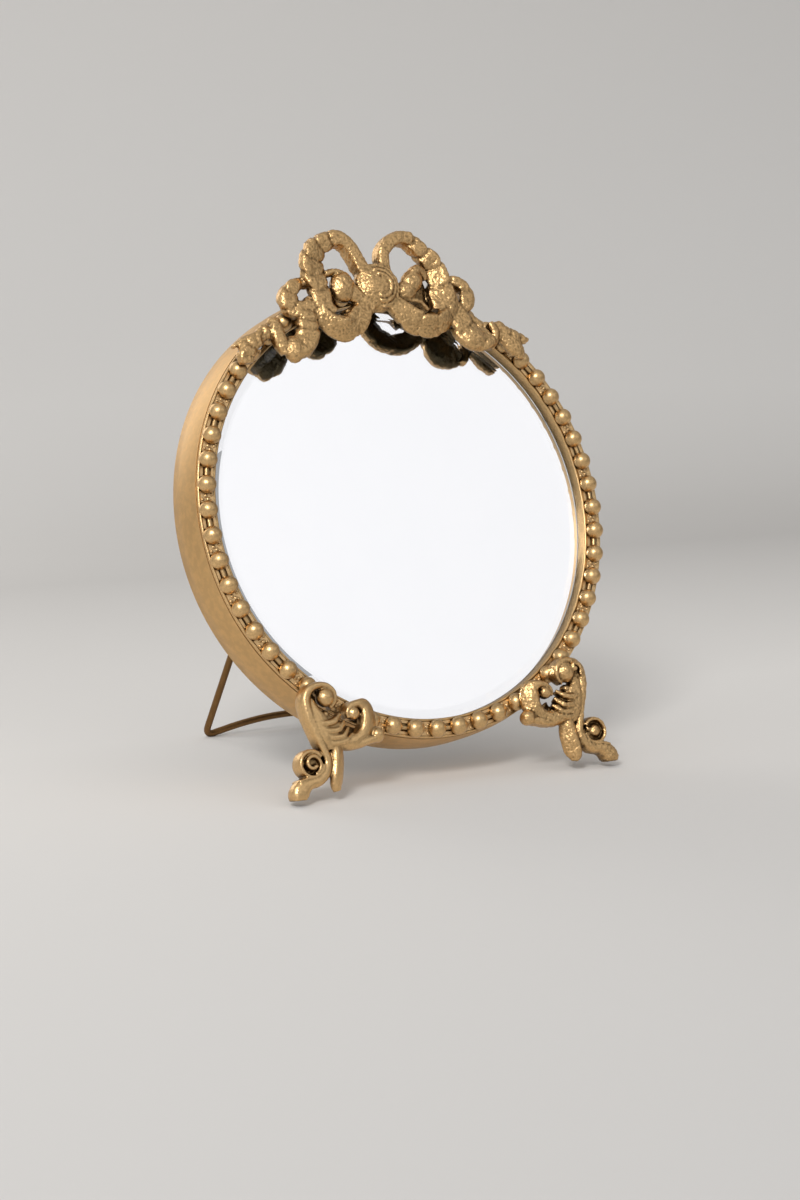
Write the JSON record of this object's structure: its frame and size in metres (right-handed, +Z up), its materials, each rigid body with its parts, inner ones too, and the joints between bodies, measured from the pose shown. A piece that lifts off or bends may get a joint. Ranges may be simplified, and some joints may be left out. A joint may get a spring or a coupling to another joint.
{
  "type": "tabletop vanity mirror",
  "caption": "Round tabletop vanity mirror in a beaded drum frame, with a ribbon bow crest, scroll feet and a folding wire easel stand.",
  "frame": {"origin": "middle of the footprint, on the table", "axes": "+Z up, -Y the way the mirror looks (it leans back 17.93 degrees), +X to the right of somebody who looks at the glass"},
  "size_m": [0.228, 0.1809, 0.2634],
  "materials": {
    "antique_gold": "satin antique gold over cast and pressed metal, darker in the recesses",
    "silvered_glass": "polished",
    "felt": "matte",
    "hardboard": "matte",
    "cover_board": "flocked, matte",
    "zinc_steel": "zinc plated"
  },
  "bodies": {
    "mirror": {"shell_drum": "antique_gold", "bead_bezel": "antique_gold", "mirror_glass": "silvered_glass", "glass_cushion": "felt", "backing_board": "hardboard", "glass_clip_1": "zinc_steel", "glass_clip_2": "zinc_steel", "glass_clip_3": "zinc_steel", "glass_clip_4": "zinc_steel", "back_cover": "cover_board", "bow_crest": "antique_gold", "foot_left": "antique_gold", "foot_right": "antique_gold", "hinge_bracket_left": "zinc_steel", "hinge_bracket_right": "zinc_steel", "crest_screw_1": "zinc_steel", "crest_screw_2": "zinc_steel", "crest_screw_3": "zinc_steel", "foot_screw_1": "zinc_steel", "foot_screw_2": "zinc_steel", "foot_screw_3": "zinc_steel", "foot_screw_4": "zinc_steel", "cover_screw_1": "zinc_steel", "cover_screw_2": "zinc_steel", "cover_screw_3": "zinc_steel", "cover_screw_4": "zinc_steel", "bracket_screw_1": "zinc_steel", "bracket_screw_2": "zinc_steel", "bracket_screw_3": "zinc_steel", "bracket_screw_4": "zinc_steel"},
    "stand": {"stand_wire": "antique_gold"}
  },
  "joints": [
    {"name": "stand_fold", "type": "hinge", "parent": "mirror", "child": "stand", "pos_m": [0, 0.00683, 0.15871], "axis": [-1, 0, 0], "range_deg": [0, 45]}
  ]
}
